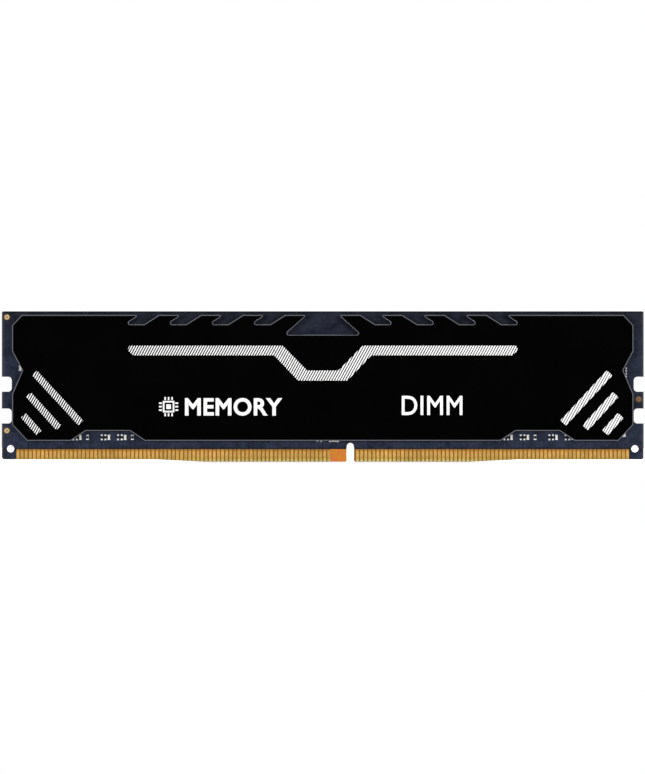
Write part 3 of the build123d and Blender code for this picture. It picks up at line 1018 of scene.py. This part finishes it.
def add_word(bm, text, left, base, width, height, weight, side, depth):
    """A word in raised ink, stretched to this width and capital height.

    Weight thickens the letters, as a share of the font's size.
    """
    curve = bpy.data.curves.new("word", "FONT")
    curve.body = text
    curve.offset = weight
    curve.space_character = LETTER_SPACING
    curve.resolution_u = CURVE_STEPS
    holder = bpy.data.objects.new("word", curve)
    bpy.context.scene.collection.objects.link(holder)
    bpy.context.view_layer.update()
    depsgraph = bpy.context.evaluated_depsgraph_get()
    mesh = bpy.data.meshes.new_from_object(holder.evaluated_get(depsgraph))
    bpy.data.objects.remove(holder)
    bpy.data.curves.remove(curve)
    xs = [vert.co.x for vert in mesh.vertices]
    ys = [vert.co.y for vert in mesh.vertices]
    scale_x = width / (max(xs) - min(xs))
    scale_z = height / (max(ys) - min(ys))
    letters = bmesh.new()
    letters.from_mesh(mesh)
    bpy.data.meshes.remove(mesh)
    bmesh.ops.remove_doubles(letters, verts=letters.verts, dist=LETTER_WELD)
    for vert in letters.verts:
        x = left + (vert.co.x - min(xs)) * scale_x
        z = base + (vert.co.y - min(ys)) * scale_z
        vert.co = Vector((-side * x, side * (depth - INK), z))
    raised = bmesh.ops.extrude_face_region(letters, geom=letters.faces[:])
    for item in raised["geom"]:
        if isinstance(item, bmesh.types.BMVert):
            item.co.y = side * depth
    solid = bpy.data.meshes.new("word")
    letters.to_mesh(solid)
    letters.free()
    bm.from_mesh(solid)
    bpy.data.meshes.remove(solid)


def make_print(side_name, side):
    """All the white ink on one spreader. It reads the right way round from its own side."""
    node = f"heat_spreader_{side_name}"
    low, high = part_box(node)
    outer = max(abs(low.y), abs(high.y))
    steps = ((0, outer - INK), (0, outer))
    bm = bmesh.new()
    shapes = hatch(band_outline())
    for outline in bar_outlines():
        shapes += hatch(outline)
    word_base = plate_low.z + WORD_BASE
    shapes += chip_picture(CHIP_PICTURE_LEFT, word_base - CHIP_PICTURE_DROP, CHIP_PICTURE_SIZE)
    for shape in shapes:
        seen = [Vector((-side * point.x, point.y)) for point in shape]
        add_prism(bm, seen, steps, side)
    for text, left, rise, width, height, weight in WORDS:
        base = word_base + rise * MM
        add_word(bm, text, left * MM, base, width * MM, height * MM, weight, side, outer)
    new_piece(f"white_print_{side_name}", bm, [white_ink])


for side_name, side in SIDES.items():
    make_heat_spreader(side_name, side)
    make_print(side_name, side)


# ==================== floor, light and camera
PICTURE_WIDTH = 645
PICTURE_HEIGHT = 774
BOARD_SHARE = 0.9947               # how much of the picture's width the board takes up
LENS = 600                         # focal length and sensor height, both in millimetres
SENSOR = 36
FARTHEST_SEEN = 20
SHIFT_LEFT = 0.05 * MM             # of the camera from the module's middle
SHIFT_DOWN = 0.10 * MM
FLOOR_REACH = 0.6
FLOOR_CELLS = 8


def make_floor():
    """A pale floor under the contact edge."""
    bm = bmesh.new()
    bmesh.ops.create_grid(bm, x_segments=FLOOR_CELLS, y_segments=FLOOR_CELLS, size=FLOOR_REACH)
    mesh = bpy.data.meshes.new("floor")
    bm.to_mesh(mesh)
    bm.free()
    mesh.materials.append(floor_material())
    floor = bpy.data.objects.new("floor", mesh)
    bpy.context.scene.collection.objects.link(floor)
    floor.location.z = cad_low.z
    floor.visible_glossy = False


def make_light(name, place, aim, width, height, power):
    """A soft rectangular light that the camera doesn't see."""
    data = bpy.data.lights.new(name, "AREA")
    data.shape = "RECTANGLE"
    data.size = width
    data.size_y = height
    data.energy = power
    light = bpy.data.objects.new(name, data)
    bpy.context.scene.collection.objects.link(light)
    light.location = place
    light.rotation_euler = (Vector(aim) - Vector(place)).to_track_quat("-Z", "Y").to_euler()
    light.visible_camera = False


def make_world():
    """White behind the object, and a dim even light round it.

    The light fades towards the front and the back, as with black cards round the camera, so that
    the flat black faces stay black from straight on.
    """
    world = bpy.data.worlds.new("studio")
    world.use_nodes = True
    bpy.context.scene.world = world
    tree = world.node_tree
    side_light, end_light = 0.34, 0.05   # from round the sides, and from the front and the back
    fade_from, fade_to = 0.80, 0.97      # how far towards the front or the back it fades
    direction = add_node(tree, "ShaderNodeTexCoord").outputs["Generated"]
    along_y = add_node(tree, "ShaderNodeSeparateXYZ", {0: direction}).outputs["Y"]
    facing = math_socket(tree, "ABSOLUTE", along_y)
    dim_light = range_socket(tree, facing, side_light, end_light, fade_from, fade_to)
    seen = add_node(tree, "ShaderNodeLightPath").outputs["Is Camera Ray"]
    background = tree.nodes["Background"]
    background.inputs["Color"].default_value = (1, 1, 1, 1)
    tree.links.new(math_socket(tree, "MAXIMUM", dim_light, seen), background.inputs["Strength"])


def make_camera():
    """A long lens straight in front, at the height of the module's middle."""
    data = bpy.data.cameras.new("camera")
    data.lens = LENS
    data.sensor_width = SENSOR
    data.clip_end = FARTHEST_SEEN
    camera = bpy.data.objects.new("camera", data)
    bpy.context.scene.collection.objects.link(camera)
    view_width = (cad_high.x - cad_low.x) / BOARD_SHARE
    view_height = view_width * PICTURE_HEIGHT / PICTURE_WIDTH
    distance = view_height * LENS / SENSOR
    middle = (cad_low + cad_high) / 2
    camera.location = (middle.x - SHIFT_LEFT, middle.y - distance, middle.z - SHIFT_DOWN)
    camera.rotation_euler = (math.radians(90), 0, 0)
    bpy.context.scene.camera = camera


middle = (cad_low + cad_high) / 2
make_floor()
# Each light's name, its place from the module's middle, its width and height, and its power.
lights = (
    ("front_left", (-0.58, -1.0, 0.07), 0.45, 0.14, 4.6),
    ("front_right", (0.52, -1.0, 0.08), 0.45, 0.14, 4.0),
    ("rear_left", (-0.6, 0.9, 0.5), 0.5, 0.5, 5.0),
    ("rear_right", (0.5, 1.0, 0.4), 0.5, 0.5, 4.0),
)
for name, place, width, height, power in lights:
    make_light(name, middle + Vector(place), middle, width, height, power)
make_world()
make_camera()
bpy.context.scene.view_settings.view_transform = "Standard"
